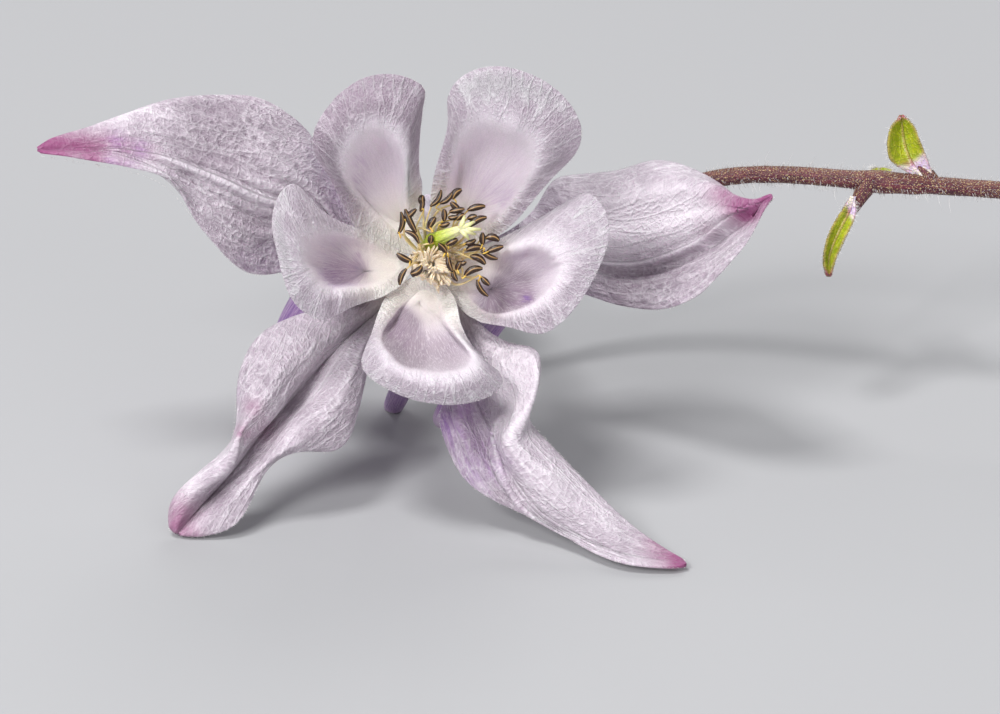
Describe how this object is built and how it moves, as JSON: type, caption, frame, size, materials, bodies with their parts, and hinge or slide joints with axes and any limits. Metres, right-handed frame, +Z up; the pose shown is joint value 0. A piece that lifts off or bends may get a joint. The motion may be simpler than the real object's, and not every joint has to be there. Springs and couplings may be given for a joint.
{
  "type": "cut columbine flower",
  "caption": "Cut columbine flower lying on its bare stem: spread sepals, hollow spurred petals, a tuft of stamens and a curved stalk with small bracts.",
  "frame": {"origin": "centre of the underside of the bounding box, on the surface that the flower lies on", "axes": "+X along the stem away from the flower, +Z up off the surface, -Y towards the side that the flower faces"},
  "size_m": [0.0818, 0.0448, 0.0327],
  "materials": {
    "stem": "satin, hairy",
    "sepal": "papery, raised veins",
    "petal": "papery, frosted",
    "bract": "matte, hairy edges",
    "stamens": "matte",
    "pistil": "satin"
  },
  "bodies": {
    "root": {"stem": "stem", "bract_upper": "bract", "bract_lower": "bract", "bract_small": "bract", "sepal_upper_left": "sepal", "sepal_top": "sepal", "sepal_right": "sepal", "sepal_lower_right": "sepal", "sepal_lower_left": "sepal", "petal_left": "petal", "petal_upper_left": "petal", "petal_upper_right": "petal", "petal_right": "petal", "petal_bottom": "petal", "stamens": "stamens", "pistil": "pistil"}
  },
  "joints": []
}
